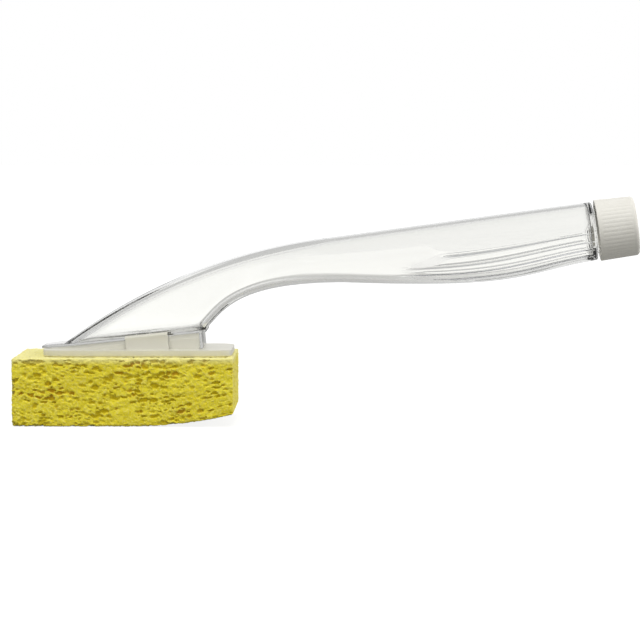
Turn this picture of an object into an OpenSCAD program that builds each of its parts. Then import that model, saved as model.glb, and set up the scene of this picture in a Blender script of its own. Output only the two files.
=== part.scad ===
// Soap-dispensing dish wand: a clear hollow handle with a screw cap, and a sponge head that slides off.
// Sizes are in millimetres. X runs from the sponge's front to the cap, Z is up, and the object is even about Y = 0.
// The origin is on the sponge's scrubbing face, about below the middle of the sponge.

/* [Sponge] */
// Length of the sponge block along X
sponge_l = 87.2; // [86:0.2:100]
// Width of the sponge block along Y
sponge_w = 60; // [50:1:70]
// Place of the sponge's middle along X
sponge_x = 0.8; // [-2:0.2:2]
// Thickness of the sponge block
sponge_t = 27; // [22:0.5:32]
// Length of the swept-up heel under the rear of the sponge
heel_l = 40; // [20:1:40]
// Rise of the heel at the rear end
heel_rise = 4.8; // [1:0.2:8]

/* [Head plate] */
// Thickness of the glue layer under the plate
film_t = 0.3; // [0.2:0.1:0.6]
// Thickness of the plate's flat base
base_t = 2.2; // [1.6:0.1:3]
// Width of the plate's flat base
base_w = 44; // [40:1:50]
// Distance from the flange's tip back to the base's front edge
base_back = 1.2; // [0:0.2:3]
// Length of the base behind the handle's foot, pressed by a thumb to push the head off
tab_l = 10; // [8:0.2:12]
// Corner radius of the base
base_r = 7; // [3:0.5:10]
// Slope of the wedge-shaped seat, in degrees
seat_tilt = 5.9; // [4:0.1:7]
// Width of the seat
seat_w = 28.4; // [26:0.2:29]
// Chamfer along the seat's upper side edges
seat_edge = 2; // [0.5:0.1:3]
// Distance from the flange's tip back to the seat's tip
seat_back = 4; // [2:0.5:6]
// Start of the side lugs along the seat, from the origin
lug_start = 1.2; // [-2:0.2:4]
// Length of the side lugs
lug_l = 16.8; // [12:0.2:18]
// Thickness of a lug's upright
lug_t = 1.9; // [1.5:0.1:2.5]
// Radius of a lug's rounded upper edge
lug_r = 1.2; // [0.4:0.1:1.4]
// Thickness of a lug's lip
lip_t = 0.7; // [0.6:0.1:1.2]

/* [Flange] */
// Length of the flange along the seat
flange_l = 65.8; // [62:0.2:68]
// Distance from the origin back to the flange's rear edge
flange_rear = 33.2; // [31:0.2:34]
// Width of the flange
flange_w = 30; // [29.6:0.2:32]
// Thickness of the flange
flange_t = 0.9; // [0.8:0.1:1.4]
// Length of the flange's tapered nose
nose_l = 14; // [10:0.5:18]
// Thickness of the stop lip that hangs under the flange, behind the seat
stop_t = 1; // [0.8:0.1:1.4]
// Distance from the flange's rear edge forward to the stop lip
stop_back = 1.8; // [0.5:0.1:2.5]
// Clearance around the stop lip, in front of it and below it
stop_gap = 0.2; // [0.1:0.05:0.5]
// Height of the step that locates the handle's foot
step_t = 1.2; // [0.8:0.1:1.6]
// Weld seam between the flange and the handle's foot
seam_t = 0.02; // [0.01:0.01:0.05]
// Clearance between the flange and the lugs
slide_gap = 0.3; // [0.3:0.05:0.5]
// Clearance between the seat and the flange's underside
seat_gap = 0.03; // [0.02:0.01:0.1]
// Clearance between a lug's lip and the flange's top
lip_gap = 0.1; // [0.1:0.05:0.3]

/* [Soap outlet] */
// Place of the outlet along the seat, from the origin
outlet_u = 8; // [-6:0.5:12]
// Outer radius of the outlet boss
boss_r = 6; // [5.6:0.1:6.4]
// Depth of the boss below the flange
boss_d = 1.8; // [1.6:0.1:2]
// Radius of the hole that holds the valve
outlet_r = 3.5; // [3:0.1:4]
// Clearance between the boss and its slot in the seat
slot_gap = 0.4; // [0.3:0.05:0.6]
// Thickness of the valve's upper rim, sunk flush into the step
rim_t = 0.8; // [0.6:0.1:1]
// Clearance around the valve's upper rim
rim_gap = 0.3; // [0.1:0.1:0.6]
// Thickness of the valve's slit wall
slit_t = 0.7; // [0.5:0.1:0.8]

/* [Handle] */
// Wall thickness of the handle
wall = 1.3; // [1.1:0.1:2.2]
// Width of the handle's foot
foot_w = 26.4; // [24:0.2:26.8]
// Distance from the flange's front edge back to the foot's front
foot_back = 8.8; // [8:0.2:12]
// Width of the handle at the waist
waist_w = 19.5; // [17:0.5:22]
// Width of the handle at the grip
grip_w = 24.4; // [22:0.2:26]
// Place of the waist's top along X
waist_x = 84; // [80:1:88]
// Distance from the waist's top point back to its lower point
waist_back = 4; // [2:0.5:6]
// Height of the waist's top edge
waist_top = 73.6; // [70:0.2:76]
// Height of the waist's lower edge
waist_low = 55.4; // [54:0.2:58]
// Slope of the roof at the foot's front, in degrees
roof_a = 36.2; // [34:0.2:40]
// Slope of the arch at the foot's rear, in degrees
arch_a = 48.5; // [44:0.5:60]
// Slope of the handle's top behind the waist, in degrees
grip_a = 7.7; // [6:0.1:9]
// Depth of the finger flutes under the grip
flute_d = 0.6; // [0.3:0.1:0.7]

/* [Neck and cap] */
// Place of the neck's shoulder along X
neck_x = 187.4; // [180:0.5:195]
// Height of the neck's axis at the shoulder
neck_z = 76; // [74:0.5:78]
// Tilt of the neck's axis, in degrees
neck_tilt = 7.5; // [5:0.5:9]
// Radius of the handle's round end
end_r = 11.65; // [11.5:0.05:12]
// Radius of the filling hole
mouth_r = 7.2; // [6:0.1:7.4]
// Outer radius of the neck
neck_r = 9; // [8.8:0.05:9.1]
// Length of the neck
neck_l = 13.8; // [13.4:0.1:14.4]
// Pitch of the screw thread
pitch = 3.175; // [3:0.025:3.3]
// Turns of thread on the neck and in the cap
turns = 1.5; // [1:0.25:1.5]
// Distance from the neck's rim back to the start of its thread
thread_back = 8; // [7.6:0.1:8.4]
// Height of the thread
thread_h = 1; // [0.8:0.05:1]
// Radial clearance between the two threads
thread_gap = 0.35; // [0.3:0.05:0.4]
// Gap between the handle's shoulder and the cap
cap_gap = 1.2; // [1:0.1:2]
// Length of the cap
cap_l = 15.8; // [15.4:0.1:17]
// Radius of the cap at its rim
cap_r = 12.25; // [12.1:0.05:12.6]
// Draft of the cap, as the loss of radius over its length
cap_draft = 0.4; // [0.2:0.05:0.5]
// Radius of the cap's rounded outer edge
cap_edge = 1.6; // [1:0.1:2]
// Number of grooves around the cap
cap_grooves = 44; // [36:1:52]
// Depth of the grooves at the rim
groove_d = 0.4; // [0.2:0.05:0.5]
// Height of the plain band between the rim and the grooves
band_h = 1.3; // [0.8:0.1:2]
// Thickness of the sealing disc
liner_t = 1; // [0.8:0.1:1.2]

/* [Hidden] */
$fn = 96;
film_z = sponge_t;
base_z = film_z + film_t;
base_top = base_z + base_t;
flange_front = flange_rear - flange_l;
plate_front = flange_front + base_back;
plate_rear = flange_rear + tab_l;
seat_tip = flange_front + seat_back;
stop_rear = flange_rear - stop_back;
seat_end = stop_rear - stop_t - stop_gap;
seat_z = base_top - flange_front * tan(seat_tilt);
slot_r = boss_r + slot_gap;
slot_d = boss_d + slot_gap;
soap_r = outlet_r + 0.2;
rim_r = outlet_r + 1.2;
rim_z = flange_t + step_t - rim_t;
lip_z = flange_t + lip_gap;
lip_in = foot_w / 2 + 0.5;
lug_in = flange_w / 2 + slide_gap;
shoulder_t = 1.8;
shoulder_r = end_r - 0.45;
thread_z = neck_l - thread_back;

// Rings of the handle's skin along the foot and along the grip, and the points around a ring
foot_count = 15;
grip_count = 13;
ring_count = foot_count + grip_count;
flute_count = 10;
flute_part_count = 3;
low_count = flute_count * flute_part_count;
top_count = 12;
point_count = low_count + top_count;
// Angles around a ring where the flutes start and end, with -90 at the very bottom
flute_from_a = -178;
flute_to_a = -2;

// Directions in the plane of symmetry, as X and Z
function dir(a) = [cos(a), sin(a)];
function cross2(a, b) = a[0] * b[1] - a[1] * b[0];
function unit(v) = v / norm(v);
function smooth(t) = let (c = max(0, min(1, t))) c * c * (3 - 2 * c);
function blend(a, b, t) = a + (b - a) * smooth(t);

// A cubic curve and its direction
function curve(p, t) =
    pow(1 - t, 3) * p[0] + 3 * t * pow(1 - t, 2) * p[1] + 3 * t * t * (1 - t) * p[2] + pow(t, 3) * p[3];
function curve_dir(p, t) =
    unit(pow(1 - t, 2) * (p[1] - p[0]) + 2 * t * (1 - t) * (p[2] - p[1]) + t * t * (p[3] - p[2]));

// A point on the seat, at u along it and w above it
function on_seat(u, w) = [0, seat_z] + u * dir(seat_tilt) + w * dir(seat_tilt + 90);
foot_front = on_seat(flange_front + foot_back, flange_t + seam_t);
foot_rear = on_seat(flange_rear, flange_t + seam_t);
end_mid = [neck_x, neck_z] - dir(neck_tilt);
end_top = end_mid + end_r * dir(neck_tilt + 90);
end_low = end_mid - end_r * dir(neck_tilt + 90);
waist_t = [waist_x, waist_top];
waist_l = [waist_x + waist_back, waist_low];

// The four edges of the side view: roof and arch over the foot, top and underside of the grip
function edge(from, from_a, from_share, to, to_a, to_share) =
    let (span = norm(to - from))
    [from, from + from_share * span * dir(from_a), to - to_share * span * dir(to_a), to];
roof = edge(foot_front, roof_a, 0.534, waist_t, grip_a, 0.095);
arch = edge(foot_rear, arch_a, 0.2, waist_l, 0, 0.72);
grip_top = edge(waist_t, grip_a, 0.3, end_top, neck_tilt, 0.3);
grip_low = edge(waist_l, -2, 0.718, end_low, 10, 0.31);

// Place of ring i along its stretch, and its top and lower edge points
function at(i) = i <= foot_count ? i / foot_count : (i - foot_count) / grip_count;
function top_edge(i) = i <= foot_count ? roof : grip_top;
function low_edge(i) = i <= foot_count ? arch : grip_low;

// Half width and squareness of ring i
function half_w(i) =
    let (t = at(i))
    i <= foot_count ? blend(foot_w, waist_w, (t - 0.08) / 0.92) / 2
    : t < 0.55 ? blend(waist_w, grip_w, t / 0.55) / 2
    : blend(grip_w / 2, end_r, (t - 0.55) / 0.45);
function square_of(i) = i <= foot_count ? blend(8, 2.6, (at(i) - 0.3) / 0.7) : blend(2.6, 2, at(i));
function power(v, n) = sign(v) * pow(abs(v), 2 / n);

// Angle of point k around a ring, and how deep the flutes cut there
function angle(k) =
    k <= low_count ? flute_from_a + k * (flute_to_a - flute_from_a) / low_count
    : flute_to_a + (k - low_count) * (360 + flute_from_a - flute_to_a) / top_count;
function flute(i, k) =
    i <= foot_count || k > low_count ? 0
    : flute_d * smooth((at(i) - 0.25) / 0.3) * smooth((1.02 - at(i)) / 0.1) * abs(sin(180 * k / flute_part_count));

// Ring i, drawn in by the depth d to leave a wall
function ring(i, d) =
    let (
        t = at(i),
        p = curve(top_edge(i), t),
        q = curve(low_edge(i), t),
        along = unit(q - p),
        a = p + along * d / abs(cross2(along, curve_dir(top_edge(i), t))),
        b = q - along * d / abs(cross2(along, curve_dir(low_edge(i), t))),
        mid = (a + b) / 2,
        half = (a - b) / 2,
        w = half_w(i) - d,
        n = square_of(i)
    )
    [for (k = [0 : point_count - 1])
        let (
            cut = d > 0 ? 1 : 1 - flute(i, k) / norm(half),
            place = mid + half * power(sin(angle(k)), n) * cut
        )
        [place[0], w * power(cos(angle(k)), n) * cut, place[1]]];

function after(k) = (k + 1) % point_count;

// Hollow skin of the handle, open at the foot and at the round end
module skin() {
    outer = [for (i = [0 : ring_count]) each ring(i, 0)];
    inner = [for (i = [0 : ring_count]) each ring(i, wall)];
    m = point_count;
    shift = m * (ring_count + 1);
    sides = [for (i = [0 : ring_count - 1]) for (k = [0 : m - 1]) each [
        [i * m + k, (i + 1) * m + k, (i + 1) * m + after(k)],
        [i * m + k, (i + 1) * m + after(k), i * m + after(k)],
        [shift + i * m + k, shift + (i + 1) * m + after(k), shift + (i + 1) * m + k],
        [shift + i * m + k, shift + i * m + after(k), shift + (i + 1) * m + after(k)]
    ]];
    last = ring_count * m;
    ends = [for (k = [0 : m - 1]) each [
        [k, after(k), shift + after(k)],
        [k, shift + after(k), shift + k],
        [last + k, shift + last + after(k), last + after(k)],
        [last + k, shift + last + k, shift + last + after(k)]
    ]];
    polyhedron(concat(outer, inner), concat(sides, ends), convexity = 6);
}

// A screw thread that stands out from the radius root to the radius crest and fades into the wall at both ends
module thread(root, crest, start) {
    steps = round(30 * turns);
    sink = root < crest ? -0.4 : 0.4;
    wide = 2;
    slim = 0.85;
    points = [for (s = [0 : steps])
        let (
            a = 360 * turns * s / steps,
            z = start + pitch * turns * s / steps,
            fade = min(1, min(s, steps - s) / 4),
            c = root + sink / 2 + (crest - root - sink / 2) * fade,
            r = root + sink
        )
        each [
            [r * cos(a), r * sin(a), z - wide / 2],
            [c * cos(a), c * sin(a), z - slim / 2],
            [c * cos(a), c * sin(a), z + slim / 2],
            [r * cos(a), r * sin(a), z + wide / 2]
        ]];
    flat = [for (s = [0 : steps - 1]) for (k = [0 : 3]) each [
        [4 * s + k, 4 * s + 4 + k, 4 * s + 4 + (k + 1) % 4],
        [4 * s + k, 4 * s + 4 + (k + 1) % 4, 4 * s + (k + 1) % 4]
    ]];
    e = 4 * steps;
    caps = [[0, 1, 2], [0, 2, 3], [e, e + 2, e + 1], [e, e + 3, e + 2]];
    faces = concat(flat, caps);
    polyhedron(points, root > crest ? faces : [for (f = faces) [f[0], f[2], f[1]]], convexity = 8);
}

// Frame of the seat, with its own Z square to the flange
module at_seat() {
    translate([0, 0, seat_z]) rotate([0, -seat_tilt, 0]) children();
}

// Frame of the neck, with its own Z along the screw axis and zero at the shoulder
module at_neck() {
    translate([neck_x, 0, neck_z]) rotate([0, 90 - neck_tilt, 0]) children();
}

// Clear handle with its filling neck
module handle_shell() {
    color([0.86, 0.9, 0.9, 0.35]) union() {
        skin();
        at_neck() {
            rotate_extrude() {
                translate([mouth_r, -shoulder_t]) square([shoulder_r - mouth_r, shoulder_t]);
                translate([mouth_r, -1]) square([neck_r - mouth_r, neck_l + 1]);
            }
            thread(neck_r, neck_r + thread_h, thread_z);
        }
    }
}

// Outline of the flange, narrowed to a blunt nose at the front
module flange_outline() {
    nose = flange_w * 0.3;
    cheek = flange_w * 0.37;
    polygon([
        [flange_rear, -flange_w / 2],
        [flange_rear, flange_w / 2],
        [flange_front + nose_l, flange_w / 2],
        [flange_front + nose_l / 5, cheek],
        [flange_front, nose],
        [flange_front, -nose],
        [flange_front + nose_l / 5, -cheek],
        [flange_front + nose_l, -flange_w / 2]
    ]);
}

// Outline of the step that drops into the handle's foot
module step_outline() {
    loose = 0.4;
    lean = step_t / tan(roof_a - seat_tilt);
    front = flange_front + foot_back + wall / sin(roof_a - seat_tilt) + lean + loose;
    rear = flange_rear - wall / sin(arch_a - seat_tilt) - loose;
    half = foot_w / 2 - wall - loose;
    mid = (front + rear) / 2;
    polygon([for (k = [0 : 35])
        [mid + (rear - front) / 2 * power(cos(10 * k), 8), half * power(sin(10 * k), 8)]]);
}

// Clear plate that closes the foot, carries the flange and its stop lip, and holds the valve
module foot_plate() {
    recess = outlet_r + 1.4;
    stop_d = on_seat(seat_end, 0)[1] - base_top - stop_gap;
    color([0.84, 0.88, 0.88, 0.4]) at_seat() difference() {
        union() {
            linear_extrude(flange_t) flange_outline();
            translate([0, 0, flange_t / 2]) linear_extrude(flange_t / 2 + step_t) step_outline();
            translate([outlet_u, 0, -boss_d]) cylinder(r = boss_r, h = boss_d + flange_t / 2);
            translate([stop_rear - stop_t, -flange_w / 2, -stop_d])
                cube([stop_t, flange_w, stop_d + flange_t / 2]);
        }
        translate([outlet_u, 0, -boss_d - 1]) cylinder(r = outlet_r, h = boss_d + flange_t + step_t + 2);
        translate([outlet_u, 0, -boss_d - 1]) cylinder(r = recess, h = 2);
        translate([outlet_u, 0, rim_z]) cylinder(r = rim_r + rim_gap, h = rim_t + 1);
    }
}

// Soft valve, a grommet with a slit wall at its lower end
module outlet_valve() {
    low = -boss_d + 1;
    stem = outlet_r - 0.05;
    bore = outlet_r - 1.4;
    color([0.9, 0.9, 0.86, 0.8]) at_seat() translate([outlet_u, 0, 0]) difference() {
        rotate_extrude() polygon([
            [0, low - 0.8],
            [rim_r, low - 0.8],
            [rim_r, low],
            [stem, low],
            [stem, rim_z],
            [rim_r, rim_z],
            [rim_r, rim_z + rim_t],
            [bore, rim_z + rim_t],
            [bore, low - 0.8 + slit_t],
            [0, low - 0.8 + slit_t]
        ]);
        translate([-bore + 0.3, -0.1, low - 2]) cube([2 * bore - 0.6, 0.2, 3]);
    }
}

// White screw cap with grooves around it and a thread inside
module cap() {
    inside = neck_r + thread_h + thread_gap;
    under = neck_l + liner_t;
    end = cap_gap + cap_l;
    end_rad = cap_r - cap_draft;
    color([0.93, 0.92, 0.89]) at_neck() {
        difference() {
            rotate_extrude() difference() {
                union() {
                    polygon([
                        [0, cap_gap],
                        [cap_r, cap_gap],
                        [end_rad, end - cap_edge],
                        [0, end - cap_edge]
                    ]);
                    translate([0, end - cap_edge - 0.5]) square([end_rad - cap_edge, cap_edge + 0.5]);
                    intersection() {
                        translate([end_rad - cap_edge, end - cap_edge]) circle(cap_edge);
                        translate([end_rad - cap_edge - 0.5, end - cap_edge - 0.5]) square(cap_edge + 1);
                    }
                }
                translate([0, cap_gap - 1]) square([inside, under - cap_gap + 1]);
            }
            translate([0, 0, cap_gap + band_h]) linear_extrude(cap_l - cap_edge - band_h - 1)
                for (k = [0 : cap_grooves - 1]) rotate(360 * k / cap_grooves) polygon([
                    [cap_r - groove_d, 0],
                    [cap_r + 0.4, -0.8],
                    [cap_r + 0.4, 0.8]
                ]);
        }
        thread(inside, neck_r + thread_gap, thread_z - pitch / 2);
    }
}

// Sealing disc that the cap presses onto the neck's rim
module cap_liner() {
    color([0.8, 0.82, 0.84]) at_neck() translate([0, 0, neck_l]) cylinder(r = neck_r + thread_h, h = liner_t);
}

// Outline of the head plate's base, with rounded corners
module base_outline() {
    base_l = plate_rear - plate_front;
    translate([plate_front, -base_w / 2 + base_r]) square([base_l, base_w - 2 * base_r]);
    translate([plate_front + base_r, -base_w / 2]) square([base_l - 2 * base_r, base_w]);
    for (x = [plate_front + base_r, plate_rear - base_r]) for (y = [-1, 1])
        translate([x, y * (base_w / 2 - base_r)]) circle(base_r);
}

// One of the two lugs that hook over the flange's edges
module lug() {
    low = base_top - seat_z - lug_start * tan(seat_tilt) - 2.5;
    top = lip_z + lip_t;
    out = lug_in + lug_t;
    translate([lug_start, 0, 0]) rotate([90, 0, 90]) linear_extrude(lug_l) {
        translate([lug_in, low]) square([lug_t, top - lug_r - low]);
        translate([lug_in, low]) square([lug_t - lug_r, top - low]);
        translate([lip_in, lip_z]) square([out - lug_r - lip_in, lip_t]);
        translate([out - lug_r, top - lug_r]) intersection() {
            circle(lug_r);
            translate([-0.1, -0.1]) square(lug_r + 0.1);
        }
    }
}

// Wedge of the seat with the width w, its top lowered by the depth d
module seat_wedge(w, d) {
    low = base_top - base_t / 2;
    front = on_seat(seat_tip / cos(seat_tilt), -seat_gap);
    rear = on_seat(seat_end, -seat_gap);
    rotate([90, 0, 0]) translate([0, 0, -w / 2]) linear_extrude(w) polygon([
        [seat_tip, low],
        [front[0], max(front[1] - d, low + 0.2)],
        [rear[0], rear[1] - d],
        [rear[0], low]
    ]);
}

// White head plate: flat base, wedge-shaped seat, slot for the outlet boss and two lugs
module head_plate() {
    color([0.9, 0.89, 0.85]) difference() {
        union() {
            translate([0, 0, base_z]) linear_extrude(base_t) base_outline();
            hull() {
                seat_wedge(seat_w, seat_edge);
                seat_wedge(seat_w - 2 * seat_edge, 0);
            }
            intersection() {
                at_seat() {
                    lug();
                    mirror([0, 1, 0]) lug();
                }
                translate([flange_front, -base_w / 2, base_z + base_t / 2]) cube([flange_l, base_w, sponge_t]);
            }
        }
        at_seat() {
            translate([outlet_u, 0, -slot_d]) cylinder(r = slot_r, h = 2 * slot_d);
            translate([outlet_u, -slot_r, -slot_d]) cube([flange_l, 2 * slot_r, 2 * slot_d]);
        }
        translate([on_seat(outlet_u, 0)[0], 0, base_z - 1]) cylinder(r = soap_r, h = base_t + slot_d + 2);
    }
}

// Glue layer between the plate and the sponge
module bond_film() {
    color([0.88, 0.86, 0.74]) translate([0, 0, film_z]) linear_extrude(film_t) difference() {
        base_outline();
        translate([on_seat(outlet_u, 0)[0], 0]) circle(soap_r);
    }
}

// Sponge block with a flat scrubbing face that sweeps up at the heel
module sponge() {
    steps = 16;
    front = sponge_x - sponge_l / 2;
    rear = sponge_x + sponge_l / 2;
    start = rear - heel_l;
    color([0.86, 0.82, 0.35]) rotate([90, 0, 0]) translate([0, 0, -sponge_w / 2]) linear_extrude(sponge_w)
        polygon(concat(
            [[front, sponge_t], [front, 0]],
            [for (k = [0 : steps]) [start + heel_l * k / steps, heel_rise * pow(k / steps, 2)]],
            [[rear, sponge_t]]
        ));
}

handle_shell();
foot_plate();
outlet_valve();
cap();
cap_liner();
head_plate();
bond_film();
sponge();
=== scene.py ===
import math
import random

import bmesh
import bpy
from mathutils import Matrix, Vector, kdtree, noise


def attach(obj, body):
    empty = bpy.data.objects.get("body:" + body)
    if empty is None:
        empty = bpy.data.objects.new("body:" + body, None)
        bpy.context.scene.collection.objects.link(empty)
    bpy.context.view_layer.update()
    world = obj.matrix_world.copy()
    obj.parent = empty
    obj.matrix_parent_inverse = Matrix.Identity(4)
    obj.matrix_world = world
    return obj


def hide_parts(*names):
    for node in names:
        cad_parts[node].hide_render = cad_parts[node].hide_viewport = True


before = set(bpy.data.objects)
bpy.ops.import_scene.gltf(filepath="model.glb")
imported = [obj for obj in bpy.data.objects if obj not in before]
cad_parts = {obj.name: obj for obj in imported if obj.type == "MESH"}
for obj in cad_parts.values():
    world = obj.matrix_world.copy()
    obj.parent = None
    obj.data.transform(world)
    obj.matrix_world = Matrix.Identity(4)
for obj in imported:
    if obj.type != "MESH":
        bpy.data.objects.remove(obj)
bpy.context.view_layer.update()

scene = bpy.context.scene
mm = 0.001
weld = 0.002 * mm    # points closer than this are merged
colourA, colourB, mixed = 6, 7, 2    # colour sockets of a Mix node
print("frame loaded:", sorted(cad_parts))


def linear(hexColour):
    # sRGB hex to the linear values that sockets take
    parts = [int(hexColour[i:i + 2], 16) / 255 for i in (1, 3, 5)]
    return [p / 12.92 if p <= 0.04045 else ((p + 0.055) / 1.055) ** 2.4 for p in parts] + [1.0]


def addNode(tree, kind, settings=None, links=None):
    # settings name a property or an input of the node, links bring other nodes' sockets in
    node = tree.nodes.new(kind)
    for name, value in (settings or {}).items():
        if isinstance(name, str) and hasattr(node, name):
            setattr(node, name, value)
        else:
            node.inputs[name].default_value = value
    for name, socket in (links or {}).items():
        tree.links.new(socket, node.inputs[name])
    return node


def newMaterial(name, settings):
    material = bpy.data.materials.new(name)
    material.use_nodes = True
    shader = material.node_tree.nodes["Principled BSDF"]
    for socket, value in settings.items():
        shader.inputs[socket].default_value = value
    return material, material.node_tree, shader


def finishPiece(bm, name, material, body, node, sharp=35):
    # the mesh is already in place, so the object stays at the origin
    for face in bm.faces:
        face.smooth = True
    mesh = bpy.data.meshes.new(name)
    bm.to_mesh(mesh)
    bm.free()
    mesh.set_sharp_from_angle(angle=math.radians(sharp))
    mesh.materials.append(material)
    piece = bpy.data.objects.new(name, mesh)
    scene.collection.objects.link(piece)
    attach(piece, body)
    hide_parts(node)
    print("made", name, "with", len(mesh.polygons), "faces")
    return piece


def rolledGrid(around, stations, ridgeAt=None):
    # a flat grid rolled into a tube: each station gives a point for every angle around
    bm = bmesh.new()
    ridgeLayer = bm.verts.layers.float.new("ridge")
    rows = len(stations) - 1
    columns = len(around) - 1
    bmesh.ops.create_grid(bm, x_segments=columns, y_segments=rows, size=0.5)
    for vert in bm.verts:
        column = round((vert.co.x + 0.5) * columns)
        row = round((vert.co.y + 0.5) * rows)
        vert.co = stations[row](around[column])
        if ridgeAt:
            vert[ridgeLayer] = ridgeAt(row, around[column])
    bmesh.ops.remove_doubles(bm, verts=bm.verts, dist=weld)
    bmesh.ops.recalc_face_normals(bm, faces=bm.faces)
    return bm


def smoothStep(t):
    t = min(max(t, 0.0), 1.0)
    return t * t * (3 - 2 * t)


def ease(a, b, t):
    return a + (b - a) * smoothStep(t)


# camera, set from the photograph's own view, in metres and degrees
view = {
    "target": (0.078, 0, 0.0403), "distance": 1.35, "azimuth": 0.7, "elevation": 3.35,
    "lens": 189.84, "sensor": 36, "farthest": 50,
}
target = Vector(view["target"])
tilt = math.radians(view["elevation"])
turn = math.radians(view["azimuth"])
camera = bpy.data.objects.new("camera", bpy.data.cameras.new("camera"))
camera.data.lens = view["lens"]
camera.data.sensor_width = view["sensor"]
camera.data.clip_end = view["farthest"]
camera.location = target + view["distance"] * Vector(
    (math.cos(tilt) * math.sin(turn), -math.cos(tilt) * math.cos(turn), math.sin(tilt)))
camera.rotation_euler = (math.pi / 2 - tilt, 0, turn)
scene.collection.objects.link(camera)
scene.camera = camera
scene.view_settings.view_transform = "Standard"

# light runs round inside a clear wall many times before it comes out
bounces = {"max_bounces": 40, "glossy_bounces": 24, "transmission_bounces": 32}
for name, count in bounces.items():
    setattr(scene.cycles, name, count)

# a soft key from above and in front, a weak fill from beside the camera, a rim light from the right
lamps = {
    "key": {"place": (-0.12, -0.52, 1.15), "size": 0.9, "watts": 9.4},
    "fill": {"place": (0.15, -1.3, 0.45), "size": 0.9, "watts": 2.3},
    "rim": {"place": (1.20, 0.30, 0.32), "size": 0.6, "watts": 7.0},
}
for name, lamp in lamps.items():
    light = bpy.data.lights.new(name, "AREA")
    light.energy = lamp["watts"]
    light.size = lamp["size"]
    lampObject = bpy.data.objects.new(name, light)
    lampObject.location = lamp["place"]
    lampObject.rotation_euler = (target - lampObject.location).to_track_quat("-Z", "Y").to_euler()
    lampObject.visible_camera = False
    lampObject.visible_transmission = False
    lampObject.visible_glossy = False
    scene.collection.objects.link(lampObject)

# a white sweep behind the object; the ceiling and the front of the room are darker, and clear edges that
# bend light up or back pick that up
room = {
    "white": "#FFFFFF", "ambient": 0.49, "gleam": 0.62,
    "ceiling": 0.10, "ceilingFrom": 0.33, "ceilingTo": 0.56,
    "front": 0.40, "frontTo": -0.20, "sweepFrom": 0.40,
}
world = bpy.data.worlds.new("studio")
world.use_nodes = True
scene.world = world
tree = world.node_tree
tree.nodes.clear()
path = addNode(tree, "ShaderNodeLightPath")
bent = addNode(tree, "ShaderNodeMath", {"operation": "MAXIMUM"},
               {0: path.outputs["Is Glossy Ray"], 1: path.outputs["Is Transmission Ray"]})
seen = addNode(tree, "ShaderNodeMath", {"operation": "MAXIMUM"},
               {0: path.outputs["Is Camera Ray"], 1: bent.outputs[0]})
direction = addNode(tree, "ShaderNodeTexCoord")
split = addNode(tree, "ShaderNodeSeparateXYZ", links={0: direction.outputs["Generated"]})
above = addNode(tree, "ShaderNodeMapRange",
                {"interpolation_type": "SMOOTHSTEP", "From Min": room["ceilingFrom"],
                 "From Max": room["ceilingTo"], "To Min": 1.0, "To Max": room["ceiling"]},
                {"Value": split.outputs["Z"]})
behind = addNode(tree, "ShaderNodeMapRange",
                 {"interpolation_type": "SMOOTHSTEP", "From Min": room["frontTo"],
                  "From Max": room["sweepFrom"], "To Min": room["front"], "To Max": 1.0},
                 {"Value": split.outputs["Y"]})
wall = addNode(tree, "ShaderNodeMath", {"operation": "MULTIPLY"},
               {0: above.outputs[0], 1: behind.outputs[0]})
gleam = addNode(tree, "ShaderNodeMath", {"operation": "MULTIPLY", 1: room["gleam"]},
                {0: path.outputs["Is Glossy Ray"]})
wall = addNode(tree, "ShaderNodeMath", {"operation": "MAXIMUM"}, {0: wall.outputs[0], 1: gleam.outputs[0]})
wall = addNode(tree, "ShaderNodeMath", {"operation": "MAXIMUM"},
               {0: wall.outputs[0], 1: path.outputs["Is Camera Ray"]})
shown = addNode(tree, "ShaderNodeBackground", {"Color": linear(room["white"])},
                {"Strength": wall.outputs[0]})
ambient = addNode(tree, "ShaderNodeBackground",
                  {"Color": linear(room["white"]), "Strength": room["ambient"]})
sky = addNode(tree, "ShaderNodeMixShader",
              links={0: seen.outputs[0], 1: ambient.outputs[0], 2: shown.outputs[0]})
addNode(tree, "ShaderNodeOutputWorld", links={"Surface": sky.outputs[0]})

# pale floor: it glows only where it is looked at, straight or by way of the clear and glossy parts, and
# keeps the shadow; seen through the clear parts it is dark close by
floor = {
    "colour": "#8A8A88", "half": 8, "drop": 0.2,
    "glow": 0.86, "glowFrom": 0.15, "glowTo": 0.8, "gleam": 0.28,
    "near": 0.0, "far": 0.90, "nearTo": 0.12, "farFrom": 0.30, "shift": 0.08,
}
floorMaterial = bpy.data.materials.new("paperFloor")
floorMaterial.use_nodes = True
tree = floorMaterial.node_tree
tree.nodes.clear()
path = addNode(tree, "ShaderNodeLightPath")
spot = addNode(tree, "ShaderNodeTexCoord")
reach = addNode(tree, "ShaderNodeVectorMath", {"operation": "LENGTH"}, {0: spot.outputs["Object"]})
fade = addNode(tree, "ShaderNodeMapRange",
               {"From Min": floor["glowFrom"], "From Max": floor["glowTo"],
                "To Min": floor["glow"], "To Max": 1.0},
               {"Value": reach.outputs["Value"]})
split = addNode(tree, "ShaderNodeSeparateXYZ", links={0: spot.outputs["Object"]})
aside = addNode(tree, "ShaderNodeMath", {"operation": "ABSOLUTE"}, {0: split.outputs["Y"]})
along = addNode(tree, "ShaderNodeMath", {"operation": "ADD", 1: floor["shift"]}, {0: split.outputs["X"]})
aside = addNode(tree, "ShaderNodeMath", {"operation": "MAXIMUM"},
                {0: aside.outputs[0], 1: along.outputs[0]})
near = addNode(tree, "ShaderNodeMapRange",
               {"From Min": floor["nearTo"], "From Max": floor["farFrom"],
                "To Min": floor["near"], "To Max": floor["far"]},
               {"Value": aside.outputs[0]})
straight = addNode(tree, "ShaderNodeMath", {"operation": "MULTIPLY"},
                   {0: path.outputs["Is Camera Ray"], 1: fade.outputs[0]})
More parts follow.
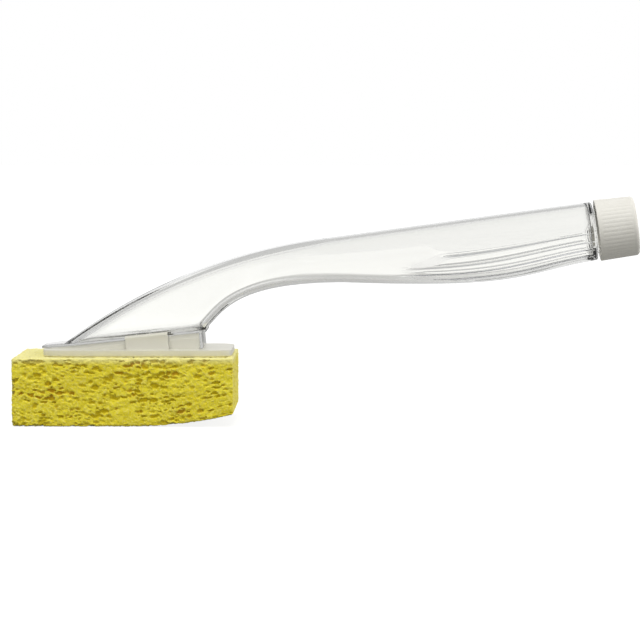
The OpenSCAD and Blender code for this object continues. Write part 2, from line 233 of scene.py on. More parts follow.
through = addNode(tree, "ShaderNodeMath", {"operation": "MULTIPLY"},
                  {0: path.outputs["Is Transmission Ray"], 1: near.outputs[0]})
gleam = addNode(tree, "ShaderNodeMath", {"operation": "MULTIPLY", 1: floor["gleam"]},
                {0: path.outputs["Is Glossy Ray"]})
glow = addNode(tree, "ShaderNodeMath", {"operation": "MAXIMUM"},
               {0: straight.outputs[0], 1: through.outputs[0]})
glow = addNode(tree, "ShaderNodeMath", {"operation": "MAXIMUM"}, {0: glow.outputs[0], 1: gleam.outputs[0]})
paper = addNode(tree, "ShaderNodeBsdfDiffuse", {"Color": linear(floor["colour"])})
lit = addNode(tree, "ShaderNodeEmission", {"Color": linear(room["white"])}, {"Strength": glow.outputs[0]})
both = addNode(tree, "ShaderNodeAddShader", links={0: paper.outputs[0], 1: lit.outputs[0]})
addNode(tree, "ShaderNodeOutputMaterial", links={"Surface": both.outputs[0]})
bm = bmesh.new()
bmesh.ops.create_grid(bm, x_segments=1, y_segments=1, size=floor["half"])
bmesh.ops.translate(bm, verts=bm.verts, vec=(0, 0, -floor["drop"] * mm))
floorMesh = bpy.data.meshes.new("floor")
bm.to_mesh(floorMesh)
bm.free()
floorMesh.materials.append(floorMaterial)
floorObject = bpy.data.objects.new("floor", floorMesh)
scene.collection.objects.link(floorObject)
print("studio ready")

# seat that the handle stands on, and the neck that the cap screws onto, in millimetres
seat = {"tilt": 5.9, "front": -32.6, "rear": 33.2, "frontHeight": 29.5, "flange": 0.92}
neck = {
    "x": 187.4, "z": 76, "tilt": 7.5, "outside": 9, "mouth": 7.2, "length": 13.8, "rings": 53,
    "shoulder": 10.2, "fillet": 0.3, "lipEdge": 0.4, "boreEnd": -1.5, "boreRings": 8,
    "pitch": 3.175, "turns": 1.5, "threadHeight": 1.0, "threadStart": 5.8, "threadFrom": -90, "runOut": 48,
    "crestHalf": 0.425, "flank": 0.575, "sunk": 0.2, "flankSunk": 0.4,
}
seatHeight = seat["frontHeight"] - seat["front"] * math.tan(math.radians(seat["tilt"]))
neckFoot = Vector((neck["x"], neck["z"]))


def heading(degrees):
    # direction in the plane of symmetry, as X and Z
    return Vector((math.cos(math.radians(degrees)), math.sin(math.radians(degrees))))


def onSeat(along, above):
    return Vector((0, seatHeight)) + along * heading(seat["tilt"]) + above * heading(seat["tilt"] + 90)


def bezier(p, t):
    s = 1 - t
    return s ** 3 * p[0] + 3 * t * s * s * p[1] + 3 * t * t * s * p[2] + t ** 3 * p[3]


def bezierHeading(p, t):
    s = 1 - t
    return (s * s * (p[1] - p[0]) + 2 * t * s * (p[2] - p[1]) + t * t * (p[3] - p[2])).normalized()


def edgeCurve(start, end, shape):
    # shape gives the heading and the pull at each end, the pull as a share of the span
    startAngle, startPull, endAngle, endPull = shape
    span = (end - start).length
    return [start, start + startPull * span * heading(startAngle),
            end - endPull * span * heading(endAngle), end]


def neckPoint(radius, along, angle):
    # angle 90 is the top of the neck
    a = math.radians(angle)
    place = neckFoot + along * heading(neck["tilt"])
    place += radius * math.sin(a) * heading(neck["tilt"] + 90)
    return Vector((place[0], radius * math.cos(a), place[1])) * mm


def threadRise(angle, along, start):
    # how far a thread stands out of its wall at this angle and height
    best = 0.0
    full = 360 * neck["turns"]
    for lap in range(2):
        a = (angle - neck["threadFrom"]) % 360 + 360 * lap
        if a > full:
            continue
        off = abs(along - start - neck["pitch"] * a / 360)
        runOut = min(1.0, min(a, full - a) / neck["runOut"])
        crest = -neck["sunk"] + (neck["threadHeight"] + neck["sunk"]) * runOut
        rise = crest - (crest + neck["flankSunk"]) * max(0.0, off - neck["crestHalf"]) / neck["flank"]
        best = max(best, min(rise, crest))
    return best


# clear handle: a hollow skin from the foot to the filling neck, in millimetres and degrees
handle = {
    "wall": 1.3, "footWidth": 26.4, "footBack": 8.8, "waistWidth": 19.5, "gripWidth": 24.4,
    "endRadius": 11.65, "endEdge": 0.6, "hollowEnd": 1.978,
    "hollowCorner": ((1.25, 0), (0.3, 0.02), (0.1, 0.1), (0.02, 0.3)),
    "waistTop": (84, 73.6), "waistLow": (88, 55.4), "narrowFrom": 0.08, "widest": 0.55,
    "roof": (36.2, 0.534, 7.7, 0.095), "arch": (48.5, 0.2, 0, 0.72),    # each edge in side view
    "gripTop": (7.7, 0.3, neck["tilt"], 0.3), "gripLow": (-2, 0.718, 10, 0.31),
    "footPower": 8, "waistPower": 2.6, "endPower": 2, "roundFrom": 0.3,    # 2 is round, more is squarer
    "frontPower": 4.2, "frontFrom": 0.05, "frontRun": 0.38,
    "flutes": 12, "fluteDepth": 0.6, "fluteFrom": -195.6, "fluteTo": 15.6, "ridge": 0.12,
    "fluteStart": 0.12, "stagger": 0.17, "earliest": 58, "staggerAngle": 30, "fadeIn": 0.08,
    "fadeOut": 0.05, "lowestFlute": 20, "highestFlute": 104, "fluteBlend": 12,
    "footRings": 60, "gripRings": 76, "topParts": 70,
    "fluteParts": (0, 0.03, 0.06, 0.09, 0.12, 0.22, 0.36, 0.5, 0.64, 0.78, 0.88, 0.91, 0.94, 0.97),
    # the two edge greys and the ridge grey are painted shade on the clear skin
    "tint": "#FEFEFC", "lowEdgeShade": "#A2A4AA", "highEdgeShade": "#E6E7E9", "paintedRidgeShade": "#A4A6AC",
    "lowEdgeShadeTo": 36, "highEdgeShadeFrom": 62, "depthTint": "#202624", "density": 18.0,    # density per metre
}
fluteAngle = (handle["fluteTo"] - handle["fluteFrom"]) / handle["flutes"]
tailMid = neckFoot - heading(neck["tilt"])
tailUp = handle["endRadius"] * heading(neck["tilt"] + 90)
waistTop = Vector(handle["waistTop"])
waistLow = Vector(handle["waistLow"])
footFront = onSeat(seat["front"] + handle["footBack"], seat["flange"])
footRear = onSeat(seat["rear"], seat["flange"])
roof = edgeCurve(footFront, waistTop, handle["roof"])
arch = edgeCurve(footRear, waistLow, handle["arch"])
gripTop = edgeCurve(waistTop, tailMid + tailUp, handle["gripTop"])
gripLow = edgeCurve(waistLow, tailMid - tailUp, handle["gripLow"])


def squared(value, power):
    return math.copysign(abs(value) ** (2 / power), value)


def fluteAt(t, angle):
    # depth of the flutes at this place on the grip, and how much of a ridge stands between two of them
    if not handle["fluteFrom"] < angle < handle["fluteTo"]:
        return 0.0, 0.0
    fromBottom = abs(angle + 90)    # counted from the very bottom up
    late = min(1.0, ((fromBottom - handle["earliest"]) / handle["staggerAngle"]) ** 2)
    start = handle["fluteStart"] + handle["stagger"] * late
    depth = handle["fluteDepth"] * smoothStep((t - start) / handle["fadeIn"])
    depth *= smoothStep((1.0 - t) / handle["fadeOut"])
    depth *= smoothStep((fromBottom - handle["lowestFlute"]) / handle["fluteBlend"])
    depth *= smoothStep((handle["highestFlute"] - fromBottom) / handle["fluteBlend"])
    share = fromBottom / fluteAngle
    off = abs(share - round(share)) / handle["ridge"]
    return depth, (1 + math.cos(math.pi * off)) / 2 if off < 1 else 0.0


def footSection(t):
    # half the width and the squareness of the foot
    narrowFrom, roundFrom = handle["narrowFrom"], handle["roundFrom"]
    width = ease(handle["footWidth"], handle["waistWidth"], (t - narrowFrom) / (1 - narrowFrom))
    power = ease(handle["footPower"], handle["waistPower"], (t - roundFrom) / (1 - roundFrom))
    power += ease(handle["frontPower"], 0, (t - handle["frontFrom"]) / handle["frontRun"])
    return width / 2, power


def gripSection(t):
    widest = handle["widest"]
    if t < widest:
        halfWidth = ease(handle["waistWidth"], handle["gripWidth"], t / widest) / 2
    else:
        halfWidth = ease(handle["gripWidth"] / 2, handle["endRadius"], (t - widest) / (1 - widest))
    return halfWidth, ease(handle["waistPower"], handle["endPower"], t)


def skinPoint(s, angle, inset):
    # s runs 0 to 1 over the foot and 1 to 2 over the grip
    onFoot = s <= 1
    t = s if onFoot else s - 1
    top, low = (roof, arch) if onFoot else (gripTop, gripLow)
    halfWidth, power = footSection(t) if onFoot else gripSection(t)
    p, q = bezier(top, t), bezier(low, t)
    along = (q - p).normalized()
    p, q = (p + along * inset / abs(along.cross(bezierHeading(top, t))),
            q - along * inset / abs(along.cross(bezierHeading(low, t))))
    halfWidth -= inset
    half = (p - q) / 2
    cut = 1.0
    if not onFoot and inset == 0:
        depth, crest = fluteAt(t, angle)
        cut = 1 - depth * (1 - crest) / half.length
    a = math.radians(angle)
    place = (p + q) / 2 + half * squared(math.sin(a), power) * cut
    return Vector((place[0], halfWidth * squared(math.cos(a), power) * cut, place[1])) * mm


def quarter(centre, radius, fromAngle, toAngle, parts):
    # a rounded corner of the neck's section, as radius and place along the axis
    for k in range(parts + 1):
        a = math.radians(fromAngle + (toAngle - fromAngle) * k / parts)
        yield centre[0] + radius * math.cos(a), centre[1] + radius * math.sin(a)


def ridgeShare(row, angle):
    # 1 on the crest of a full ridge of the outer skin; it masks the painted grey shade on the ridges
    t = (row - handle["footRings"]) / handle["gripRings"]
    depth, crest = fluteAt(t, angle) if 0 <= t <= 1 else (0.0, 0.0)
    return depth / handle["fluteDepth"] * crest


lower = [fluteAngle * (k + part) for k in range(handle["flutes"] // 2) for part in handle["fluteParts"]]
around = [-90 - a for a in reversed(lower)] + [-90 + a for a in lower[1:]]
around = [handle["fluteFrom"]] + around + [handle["fluteTo"]]
plainAngle = 360 + handle["fluteFrom"] - handle["fluteTo"]
topParts = handle["topParts"]
around += [handle["fluteTo"] + plainAngle * k / topParts for k in range(1, topParts + 1)]

# outer skin, end face, threaded neck, mouth, and back along the inner skin
stations = []
for k in range(handle["footRings"]):
    stations.append(lambda a, s=k / handle["footRings"]: skinPoint(s, a, 0))
for k in range(handle["gripRings"] + 1):
    stations.append(lambda a, s=1 + k / handle["gripRings"]: skinPoint(s, a, 0))
endEdge, fillet, lipEdge = handle["endEdge"], neck["fillet"], neck["lipEdge"]
corner = list(quarter((handle["endRadius"] - endEdge, -endEdge), endEdge, 0, 90, 5))
corner += [(neck["shoulder"], 0)]
corner += list(quarter((neck["outside"] + fillet, fillet), fillet, -90, -180, 3))
for r, z in corner:
    stations.append(lambda a, r=r, z=z: neckPoint(r, z, a))
for k in range(1, neck["rings"]):
    z = fillet + (neck["length"] - fillet - lipEdge) * k / neck["rings"]
    stations.append(lambda a, z=z: neckPoint(neck["outside"] + threadRise(a, z, neck["threadStart"]), z, a))
mouthTop = neck["length"] - fillet
rim = list(quarter((neck["outside"] - lipEdge, neck["length"] - lipEdge), lipEdge, 0, 90, 4))
rim += list(quarter((neck["mouth"] + fillet, mouthTop), fillet, 90, 180, 3))
rim += [(neck["mouth"], mouthTop + (neck["boreEnd"] - mouthTop) * k / neck["boreRings"])
        for k in range(1, neck["boreRings"] + 1)]
rim += list(quarter((neck["mouth"] + fillet, neck["boreEnd"]), fillet, 180, 270, 3))
bore = handle["endRadius"] - handle["wall"]
rim += [(bore - drawn, neck["boreEnd"] - fillet - dropped) for drawn, dropped in handle["hollowCorner"]]
for r, z in rim:
    stations.append(lambda a, r=r, z=z: neckPoint(r, z, a))
innerRings = handle["gripRings"] + handle["footRings"]
for k in range(innerRings + 1):
    s = handle["hollowEnd"] * (1 - k / innerRings)
    stations.append(lambda a, s=s: skinPoint(s, a, handle["wall"]))
stations.append(stations[0])
bm = rolledGrid(around, stations, ridgeShare)

# clear polystyrene moulded in polished steel: glassy, with faint long ripples and a few soft scuffs
clear, tree, shader = newMaterial("clearPolystyrene", {"IOR": 1.57, "Transmission Weight": 1.0})
place = addNode(tree, "ShaderNodeTexCoord")
ripple = addNode(tree, "ShaderNodeTexNoise", {"Scale": 1 / (9 * mm), "Detail": 1.0},
                 {"Vector": place.outputs["Object"]})
bump = addNode(tree, "ShaderNodeBump", {"Strength": 0.05, "Distance": 0.2 * mm},
               {"Height": ripple.outputs["Fac"]})
tree.links.new(bump.outputs["Normal"], shader.inputs["Normal"])
scuff = addNode(tree, "ShaderNodeTexNoise", {"Scale": 1 / (2.5 * mm), "Detail": 4.0},
                {"Vector": place.outputs["Object"]})
haze = addNode(tree, "ShaderNodeMapRange",
               {"From Min": 0.45, "From Max": 0.8, "To Min": 0.015, "To Max": 0.06},
               {"Value": scuff.outputs["Fac"]})
tree.links.new(haze.outputs[0], shader.inputs["Roughness"])
# painted shade: the grazing edges of the clear skin are tinted grey, darker low down round the foot and
# paler higher up, standing in for the grey that light brings out along a clear wall
facing = addNode(tree, "ShaderNodeLayerWeight", {"Blend": 0.5})
edge = addNode(tree, "ShaderNodeMapRange",
               {"interpolation_type": "SMOOTHSTEP", "From Min": 0.45, "From Max": 0.95},
               {"Value": facing.outputs["Facing"]})
split = addNode(tree, "ShaderNodeSeparateXYZ", links={0: place.outputs["Object"]})
high = addNode(tree, "ShaderNodeMapRange",
               {"interpolation_type": "SMOOTHSTEP", "From Min": handle["lowEdgeShadeTo"] * mm,
                "From Max": handle["highEdgeShadeFrom"] * mm},
               {"Value": split.outputs["Z"]})
paintedEdgeShade = addNode(tree, "ShaderNodeMix",
                  {"data_type": "RGBA", colourA: linear(handle["lowEdgeShade"]),
                   colourB: linear(handle["highEdgeShade"])},
                  {0: high.outputs[0]})
tint = addNode(tree, "ShaderNodeMix", {"data_type": "RGBA", colourA: linear(handle["tint"])},
               {0: edge.outputs[0], colourB: paintedEdgeShade.outputs[mixed]})
# painted shade: the crests of the grip's narrow ridges are tinted grey, standing in for the thin grey lines
# that the ridges draw by bending light far aside
ridge = addNode(tree, "ShaderNodeAttribute", {"attribute_name": "ridge"})
tint = addNode(tree, "ShaderNodeMix", {"data_type": "RGBA", colourB: linear(handle["paintedRidgeShade"])},
               {0: ridge.outputs["Fac"], colourA: tint.outputs[mixed]})
tree.links.new(tint.outputs[mixed], shader.inputs["Base Color"])
dim = addNode(tree, "ShaderNodeVolumeAbsorption",
              {"Color": linear(handle["depthTint"]), "Density": handle["density"]})
tree.links.new(dim.outputs[0], tree.nodes["Material Output"].inputs["Volume"])
handlePiece = finishPiece(bm, "handleShell", clear, "handle", "handle_shell")
handlePiece.visible_shadow = False    # clear plastic throws next to no shadow


def copyNode(name, shape, sharpFrom=40, flatTo=0.3):
    # a CAD node's own shape with its flat areas joined again and its sharp edges rounded
    bm = bmesh.new()
    bm.from_mesh(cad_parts[name].data)
    bmesh.ops.remove_doubles(bm, verts=bm.verts, dist=weld)
    bmesh.ops.dissolve_limit(bm, angle_limit=math.radians(flatTo), verts=bm.verts, edges=bm.edges)
    closed = [e for e in bm.edges if len(e.link_faces) == 2]
    sharp = [e for e in closed if e.calc_face_angle() > math.radians(sharpFrom)]
    bmesh.ops.bevel(bm, geom=sharp, offset=shape["edge"] * mm, offset_type="OFFSET",
                    segments=shape["parts"], profile=0.5, affect="EDGES", material=-1, clamp_overlap=True)
    return bm


# clear plate under the foot, welded on
footPlate = {"edge": 0.15, "parts": 2}
bm = copyNode("foot_plate", footPlate)
footPiece = finishPiece(bm, "footPlate", clear, "handle", "foot_plate")
footPiece.visible_shadow = False

# moulded silicone: soft and milky, with a little dust on it
valve = {"edge": 0.15, "parts": 2, "colour": "#F4F4F0"}
silicone, tree, shader = newMaterial("clearSilicone", {
    "Base Color": linear(valve["colour"]), "Roughness": 0.3, "IOR": 1.41, "Transmission Weight": 0.4})
place = addNode(tree, "ShaderNodeTexCoord")
dust = addNode(tree, "ShaderNodeTexNoise", {"Scale": 1 / (0.4 * mm), "Detail": 3.0},
               {"Vector": place.outputs["Object"]})
bump = addNode(tree, "ShaderNodeBump", {"Strength": 0.1, "Distance": 0.05 * mm},
               {"Height": dust.outputs["Fac"]})
tree.links.new(bump.outputs["Normal"], shader.inputs["Normal"])
bm = copyNode("outlet_valve", valve)
finishPiece(bm, "outletValve", silicone, "handle", "outlet_valve")

# moulded white polystyrene: faint clouds of tone, and a fine grain in its gloss
plate = {"edge": 0.35, "parts": 3, "colour": "#DBD9CC", "shade": "#D1CEBF"}
plateWhite, tree, shader = newMaterial("whitePolystyrene", {"IOR": 1.57})
place = addNode(tree, "ShaderNodeTexCoord")
cloud = addNode(tree, "ShaderNodeTexNoise", {"Scale": 1 / (14 * mm), "Detail": 3.0},
                {"Vector": place.outputs["Object"]})
tone = addNode(tree, "ShaderNodeMix",
               {"data_type": "RGBA", colourA: linear(plate["colour"]), colourB: linear(plate["shade"])},
               {0: cloud.outputs["Fac"]})
tree.links.new(tone.outputs[mixed], shader.inputs["Base Color"])
grain = addNode(tree, "ShaderNodeTexNoise", {"Scale": 1 / (0.5 * mm), "Detail": 4.0},
                {"Vector": place.outputs["Object"]})
gloss = addNode(tree, "ShaderNodeMapRange", {"To Min": 0.26, "To Max": 0.44},
                {"Value": grain.outputs["Fac"]})
tree.links.new(gloss.outputs[0], shader.inputs["Roughness"])
bump = addNode(tree, "ShaderNodeBump", {"Strength": 0.08, "Distance": 0.05 * mm},
               {"Height": grain.outputs["Fac"]})
tree.links.new(bump.outputs["Normal"], shader.inputs["Normal"])
bm = copyNode("head_plate", plate)
finishPiece(bm, "headPlate", plateWhite, "head", "head_plate")

# hot-melt glue pressed flat between plate and sponge: yellowish and a little lumpy
film = {"edge": 0.1, "parts": 2, "colour": "#E6DDA6"}
glue, tree, shader = newMaterial("hotMeltGlue", {
    "Base Color": linear(film["colour"]), "Roughness": 0.35, "IOR": 1.48})
place = addNode(tree, "ShaderNodeTexCoord")
lumps = addNode(tree, "ShaderNodeTexNoise", {"Scale": 1 / (2 * mm), "Detail": 3.0},
                {"Vector": place.outputs["Object"]})
bump = addNode(tree, "ShaderNodeBump", {"Strength": 0.4, "Distance": 0.2 * mm},
               {"Height": lumps.outputs["Fac"]})
tree.links.new(bump.outputs["Normal"], shader.inputs["Normal"])
bm = copyNode("bond_film", film)
finishPiece(bm, "bondFilm", glue, "head", "bond_film")

# sealing disc stamped from foamed polyethylene: matt, with fine cells
liner = {"edge": 0.2, "parts": 3, "colour": "#E2E4E6"}
foam, tree, shader = newMaterial("foamedPolyethylene", {
    "Base Color": linear(liner["colour"]), "Roughness": 0.7, "IOR": 1.5})
place = addNode(tree, "ShaderNodeTexCoord")
cells = addNode(tree, "ShaderNodeTexVoronoi", {"Scale": 1 / (0.4 * mm)},
                {"Vector": place.outputs["Object"]})
bump = addNode(tree, "ShaderNodeBump", {"Strength": 0.3, "Distance": 0.05 * mm},
               {"Height": cells.outputs["Distance"]})
tree.links.new(bump.outputs["Normal"], shader.inputs["Normal"])
bm = copyNode("cap_liner", liner)
finishPiece(bm, "capLiner", foam, "liner", "cap_liner")

# ribbed screw cap, in millimetres
cap = {
    "gap": 1.2, "length": 15.8, "radius": 12.25, "draft": 0.4, "edge": 1.6, "edgeFrom": 72, "crown": 0.5,
    "crownRings": 8, "wallRings": 28, "inside": 10.35, "top": 14.8, "lip": 0.3, "lipFrom": -20,
    "insideRings": 45, "topRings": 6, "threadStart": neck["threadStart"] - neck["pitch"] / 2,
    "ribs": 44, "ribDepth": 0.08, "ribParts": 8, "ribRound": 0.7, "collar": 1.3, "collarFade": 0.5,
    "endFade": 1.0, "endPast": 0.3, "colour": "#ECEAE3", "shade": "#E2DFD5",
}
capEnd = cap["gap"] + cap["length"]
wallTop = capEnd - cap["edge"]
lipTop = cap["gap"] + cap["lip"]


def capWall(z, angle):
    # drafted wall with rounded ribs that fade out at the collar and at the rounded end
    share = (z - cap["gap"]) / (wallTop - cap["gap"])
    radius = cap["radius"] - cap["draft"] * share
    depth = cap["ribDepth"] * smoothStep((z - cap["gap"] - cap["collar"]) / cap["collarFade"])
    depth *= smoothStep((wallTop + cap["endPast"] - z) / cap["endFade"])
    wave = abs(math.cos(math.radians(angle) * cap["ribs"] / 2))
    return radius - depth * (1 - wave ** cap["ribRound"])


# crowned end, ribbed wall, lip, threaded inside and its flat top
ribSteps = cap["ribs"] * cap["ribParts"]
ribTurns = [360 * k / ribSteps for k in range(ribSteps + 1)]
flat = cap["radius"] - cap["draft"] - cap["edge"]
crownShares = [k / cap["crownRings"] for k in range(cap["crownRings"])]
profile = [(flat * share, capEnd - cap["crown"] * share ** 2) for share in crownShares]
profile += list(quarter((flat, wallTop), cap["edge"], cap["edgeFrom"], 0, 8))
stations = [lambda a, r=r, z=z: neckPoint(r, z, a) for r, z in profile]
for k in range(1, cap["wallRings"] + 1):
    z = wallTop - (wallTop - lipTop) * k / cap["wallRings"]
    stations.append(lambda a, z=z: neckPoint(capWall(z, a), z, a))
lip = list(quarter((cap["radius"] - cap["lip"], lipTop), cap["lip"], cap["lipFrom"], -90, 3))
lip += list(quarter((cap["inside"] + cap["lip"], lipTop), cap["lip"], -90, -180, 3))
stations += [lambda a, r=r, z=z: neckPoint(r, z, a) for r, z in lip]
for k in range(1, cap["insideRings"]):
    z = lipTop + (cap["top"] - lipTop) * k / cap["insideRings"]
    stations.append(lambda a, z=z: neckPoint(cap["inside"] - threadRise(a, z, cap["threadStart"]), z, a))
for k in range(cap["topRings"] + 1):
    stations.append(lambda a, r=cap["inside"] * (1 - k / cap["topRings"]): neckPoint(r, cap["top"], a))
bm = rolledGrid(ribTurns, stations)

# moulded polypropylene, slightly satin: soft highlight, faint mottling and a fine grain
capWhite, tree, shader = newMaterial("whitePolypropylene", {"IOR": 1.49})
place = addNode(tree, "ShaderNodeTexCoord")
cloud = addNode(tree, "ShaderNodeTexNoise", {"Scale": 1 / (6 * mm), "Detail": 3.0},
                {"Vector": place.outputs["Object"]})
tone = addNode(tree, "ShaderNodeMix",
               {"data_type": "RGBA", colourA: linear(cap["colour"]), colourB: linear(cap["shade"])},
               {0: cloud.outputs["Fac"]})
tree.links.new(tone.outputs[mixed], shader.inputs["Base Color"])
grain = addNode(tree, "ShaderNodeTexNoise", {"Scale": 1 / (0.45 * mm), "Detail": 4.0},
                {"Vector": place.outputs["Object"]})
gloss = addNode(tree, "ShaderNodeMapRange", {"To Min": 0.36, "To Max": 0.52},
                {"Value": grain.outputs["Fac"]})
tree.links.new(gloss.outputs[0], shader.inputs["Roughness"])
bump = addNode(tree, "ShaderNodeBump", {"Strength": 0.1, "Distance": 0.05 * mm},
               {"Height": grain.outputs["Fac"]})
tree.links.new(bump.outputs["Normal"], shader.inputs["Normal"])
finishPiece(bm, "screwCap", capWhite, "cap", "cap", sharp=45)

# cellulose sponge, in millimetres: a block cut from foam, with open pores of many sizes pressed flat
sponge = {
    "size": (87.2, 60, 27), "middle": 0.8, "cuts": (280, 120, 88), "edge": 0.9, "seed": 11,
    "heelLength": 40, "heelRise": 4.8,
    "pores": 13000, "small": 0.26, "large": 1.1, "rareness": 2.4, "deepest": 1.15,
    "flatten": (1.5, 1.3, 0.7), "uneven": (0.75, 1.3), "sunk": (-0.4, 0.45), "reach": 1.05,
    "patches": 0.09, "patchBias": 0.35, "patchChance": (-0.3, 0.55),
    "wobble": ((1.0, 0.3), (0.5, 0.35), (0.16, 0.8)),    # how often per millimetre, and how far
    "ripple": (0.9, 0.9, 1.5), "rippleDepth": 0.42, "swell": 0.45, "swellDepth": 0.45, "crestWidth": 0.12,
    # the pit colour is painted shade for the pores, the brown a stain in them
    "colour": "#E8D526", "pale": "#F9EB3E", "pitShade": "#D8C20C", "brown": "#C28E12",
    # the crest colour is a painted highlight on the crests of the relief
    "crest": "#FCF084", "crestHighlightShare": 0.7,
    # painted light: a paler colour towards the top of the block
    "topLight": "#F2ECA6", "topLightFrom": 23.6, "topLightTo": 27.2, "topLightShare": 0.75,
}
spongeSize = Vector(sponge["size"]) * mm
bm = bmesh.new()
bmesh.ops.create_cube(bm, size=1.0)
for axis in range(3):
    lines = [e for e in bm.edges if abs((e.verts[0].co - e.verts[1].co)[axis]) > 0.5]
    bmesh.ops.subdivide_edges(bm, edges=lines, cuts=sponge["cuts"][axis] - 1, use_grid_fill=True)
bmesh.ops.scale(bm, vec=spongeSize, verts=bm.verts)
middle = Vector((sponge["middle"] * mm, 0, spongeSize.z / 2))
bmesh.ops.translate(bm, vec=middle, verts=bm.verts)
pitLayer = bm.verts.layers.float.new("pitShade")
crestHighlightLayer = bm.verts.layers.float.new("crest")

# worn edges: every point is pulled into a box with rounded corners
soft = sponge["edge"] * mm
inner = spongeSize / 2 - Vector((soft, soft, soft))
outward = {}
for vert in bm.verts:
    local = vert.co - middle
    core = Vector([min(max(local[i], -inner[i]), inner[i]) for i in range(3)])
    outward[vert] = (local - core).normalized()
    vert.co = middle + core + outward[vert] * soft

# pores: each one is a flat bubble that the knife opened, and a point inside it drops to its far wall
dice = random.Random(sponge["seed"])
noise.seed_set(sponge["seed"])    # without it the noise starts from the clock
verts = list(bm.verts)
rest = [vert.co.copy() for vert in verts]
wavy = []
for co in rest:
    wobble = Vector()
    for often, far in sponge["wobble"]:
        wobble += noise.noise_vector(co / mm * often) * far
    wavy.append(co + wobble * mm)
surface = kdtree.KDTree(len(verts))
for k, co in enumerate(wavy):
    surface.insert(co, k)
surface.balance()
half = spongeSize / 2
areas = [half.y * half.z, half.x * half.z, half.x * half.y]
bubbles = []
for k in range(sponge["pores"]):
    axis = dice.choices(range(3), weights=areas)[0]
    centre = Vector([dice.uniform(-half[i], half[i]) for i in range(3)])
    centre[axis] = math.copysign(half[axis], dice.uniform(-1, 1))
    size = sponge["small"] * (sponge["large"] / sponge["small"]) ** (dice.random() ** sponge["rareness"])
    radii = Vector([size * f * dice.uniform(*sponge["uneven"]) for f in sponge["flatten"]]) * mm
    centre[axis] -= math.copysign(1, centre[axis]) * radii[axis] * dice.uniform(*sponge["sunk"])
    # some patches are closer than others
    crowding = noise.noise(centre / mm * sponge["patches"]) + sponge["patchBias"]
    if crowding > dice.uniform(*sponge["patchChance"]):
        bubbles.append((size, centre + middle, radii))
depth = [0.0] * len(verts)
for size, centre, radii in sorted(bubbles, key=lambda bubble: -bubble[0]):
    for place, k, away in surface.find_range(centre, max(radii) * sponge["reach"]):
        at = wavy[k] - outward[verts[k]] * depth[k] - centre
        scaled = Vector([at[i] / radii[i] for i in range(3)])
        if scaled.length_squared >= 1:
            continue
        ray = Vector([-outward[verts[k]][i] / radii[i] for i in range(3)])
        b, c, a = scaled.dot(ray), scaled.length_squared - 1, ray.length_squared
        depth[k] += (-b + math.sqrt(b * b - a * c)) / a
deepest = sponge["deepest"] * mm
for k, vert in enumerate(verts):
    p = rest[k] / mm
    ripple = abs(noise.noise(Vector([p[i] * sponge["ripple"][i] for i in range(3)])))
    fine = sponge["rippleDepth"] * ripple + sponge["swellDepth"] * abs(noise.noise(p * sponge["swell"]))
    vert.co = rest[k] - outward[vert] * (min(depth[k], deepest) + fine * mm)
    vert[pitLayer] = min(depth[k] / deepest, 1.0)
    vert[crestHighlightLayer] = max(0.0, 1 - ripple / sponge["crestWidth"]) * (1 - vert[pitLayer])
print("sponge has", len(bubbles), "pores")

# the heel sweeps up towards the handle
heelLength = sponge["heelLength"] * mm
heelStart = middle.x + spongeSize.x / 2 - heelLength
for vert in bm.verts:
    t = max(0.0, (vert.co.x - heelStart) / heelLength)
    lift = sponge["heelRise"] * mm * t * t
    vert.co.z = lift + vert.co.z * (1 - lift / spongeSize.z)

# dyed cellulose: matt and soft; painted shade deepens the colour inside the pores, painted highlights pale
# the crests of the relief, and painted light pales the top
cellulose, tree, shader = newMaterial("dyedCellulose", {
    "Roughness": 0.85, "IOR": 1.45, "Specular IOR Level": 0.3, "Sheen Weight": 0.3, "Sheen Roughness": 0.5})
place = addNode(tree, "ShaderNodeTexCoord")
patch = addNode(tree, "ShaderNodeTexNoise", {"Scale": 1 / (4 * mm), "Detail": 6.0, "Roughness": 0.7},
                {"Vector": place.outputs["Object"]})
blotch = addNode(tree, "ShaderNodeMapRange", {"From Min": 0.35, "From Max": 0.65},
                 {"Value": patch.outputs["Fac"]})
tone = addNode(tree, "ShaderNodeMix",
               {"data_type": "RGBA", colourA: linear(sponge["colour"]), colourB: linear(sponge["pale"])},
               {0: blotch.outputs[0]})
# painted highlight: the crests of the fine relief are paler, standing in for the bright flecks where they
# catch the light
crest = addNode(tree, "ShaderNodeAttribute", {"attribute_name": "crest"})
crestHighlight = addNode(tree, "ShaderNodeMath", {"operation": "MULTIPLY", 1: sponge["crestHighlightShare"]},
                 {0: crest.outputs["Fac"]})
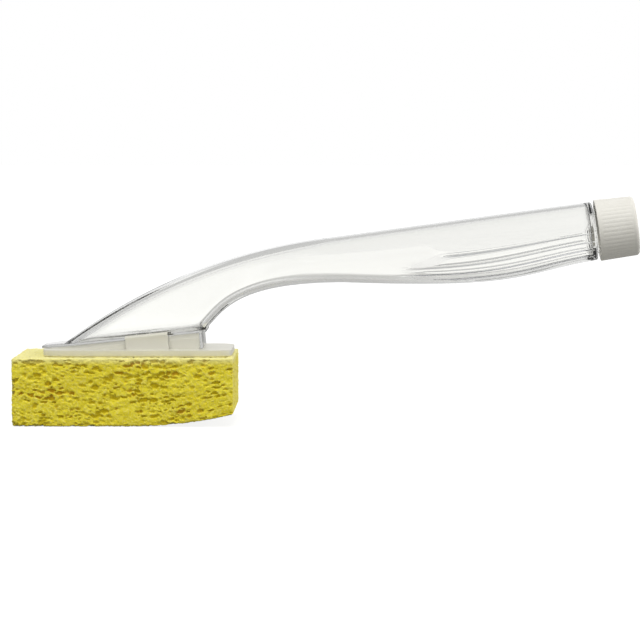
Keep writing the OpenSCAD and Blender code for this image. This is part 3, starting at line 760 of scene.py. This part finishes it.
tone = addNode(tree, "ShaderNodeMix", {"data_type": "RGBA", colourB: linear(sponge["crest"])},
               {0: crestHighlight.outputs[0], colourA: tone.outputs[mixed]})
stain = addNode(tree, "ShaderNodeTexNoise", {"Scale": 1 / (9 * mm), "Detail": 2.0},
                {"Vector": place.outputs["Object"]})
stained = addNode(tree, "ShaderNodeMapRange",
                  {"interpolation_type": "SMOOTHSTEP", "From Min": 0.5, "From Max": 0.68},
                  {"Value": stain.outputs["Fac"]})
# painted shade: the pores turn a deeper, darker yellow with their depth, with real brown stains in places
pitShadeAndStain = addNode(tree, "ShaderNodeMix",
                 {"data_type": "RGBA", colourA: linear(sponge["pitShade"]), colourB: linear(sponge["brown"])},
                 {0: stained.outputs[0]})
pitShade = addNode(tree, "ShaderNodeAttribute", {"attribute_name": "pitShade"})
pitShadeShare = addNode(tree, "ShaderNodeMapRange",
               {"From Min": 0.05, "From Max": 0.9, "To Min": 0.0, "To Max": 0.8},
               {"Value": pitShade.outputs["Fac"]})
colour = addNode(tree, "ShaderNodeMix", {"data_type": "RGBA"},
                 {0: pitShadeShare.outputs[0], colourA: tone.outputs[mixed], colourB: pitShadeAndStain.outputs[mixed]})
# painted light: the top of the block is paler, as if lit from above
split = addNode(tree, "ShaderNodeSeparateXYZ", links={0: place.outputs["Object"]})
paintedTopLight = addNode(tree, "ShaderNodeMapRange",
                {"interpolation_type": "SMOOTHSTEP", "From Min": sponge["topLightFrom"] * mm,
                 "From Max": sponge["topLightTo"] * mm, "To Max": sponge["topLightShare"]},
                {"Value": split.outputs["Z"]})
colour = addNode(tree, "ShaderNodeMix", {"data_type": "RGBA", colourB: linear(sponge["topLight"])},
                 {0: paintedTopLight.outputs[0], colourA: colour.outputs[mixed]})
tree.links.new(colour.outputs[mixed], shader.inputs["Base Color"])
fibre = addNode(tree, "ShaderNodeTexNoise", {"Scale": 1 / (0.7 * mm), "Detail": 5.0, "Roughness": 0.65},
                {"Vector": place.outputs["Object"]})
bump = addNode(tree, "ShaderNodeBump", {"Strength": 0.6, "Distance": 0.3 * mm},
               {"Height": fibre.outputs["Fac"]})
tree.links.new(bump.outputs["Normal"], shader.inputs["Normal"])
spongePiece = finishPiece(bm, "spongeBlock", cellulose, "head", "sponge", sharp=180)
